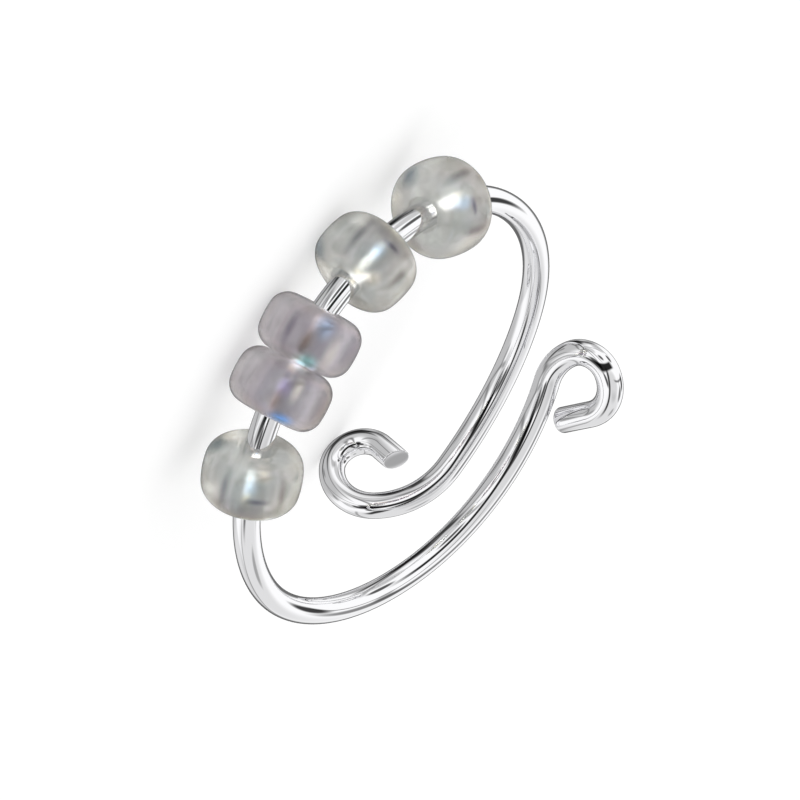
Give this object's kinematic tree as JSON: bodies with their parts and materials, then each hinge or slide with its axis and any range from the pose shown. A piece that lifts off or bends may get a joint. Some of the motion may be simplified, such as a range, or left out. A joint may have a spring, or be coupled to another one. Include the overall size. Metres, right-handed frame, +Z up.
{
  "type": "beaded wire bypass ring (spinner ring)",
  "caption": "Open finger ring of round silver wire whose ends pass each other and curl outwards, with barrel-shaped glass beads that spin on the wire.",
  "frame": {"origin": "centre of the finger opening, on the plane of the wire's circle", "axes": "+Z up as the ring rests on its side; +X towards the beads; the ring's own axis leans about 14 degrees from +Z because one curl lifts the back of the ring"},
  "size_m": [0.0217, 0.0194, 0.0103],
  "materials": {
    "silver_wire": "mirror-polished silver",
    "smoky_bead": "smoky translucent glass with a faint rainbow coating",
    "rosy_bead": "smoky translucent glass with a slight rosy tint and a faint rainbow coating"
  },
  "bodies": {
    "wire": {"ring_wire": "silver_wire"},
    "bead_1": {"bead_1": "smoky_bead"},
    "bead_2": {"bead_2": "smoky_bead"},
    "bead_3": {"bead_3": "rosy_bead"},
    "bead_4": {"bead_4": "rosy_bead"},
    "bead_5": {"bead_5": "smoky_bead"}
  },
  "joints": [
    {"name": "bead_1_spin", "type": "hinge", "parent": "wire", "child": "bead_1", "pos_m": [0.00523, -0.00733, -0.00168], "axis": [0.7854, 0.5976, -0.1617], "continuous": true},
    {"name": "bead_2_spin", "type": "hinge", "parent": "wire", "child": "bead_2", "pos_m": [0.00808, -0.00371, -0.00219], "axis": [0.4053, 0.9127, -0.0513], "continuous": true},
    {"name": "bead_3_spin", "type": "hinge", "parent": "wire", "child": "bead_3", "pos_m": [0.00886, -0.00011, -0.00219], "axis": [-0.1035, 0.9915, 0.0783], "continuous": true},
    {"name": "bead_4_spin", "type": "hinge", "parent": "wire", "child": "bead_4", "pos_m": [0.00861, 0.00226, -0.002], "axis": [-0.1035, 0.9915, 0.0783], "continuous": true},
    {"name": "bead_5_spin", "type": "hinge", "parent": "wire", "child": "bead_5", "pos_m": [0.00707, 0.00564, -0.00144], "axis": [-0.5895, 0.7858, 0.1871], "continuous": true}
  ]
}
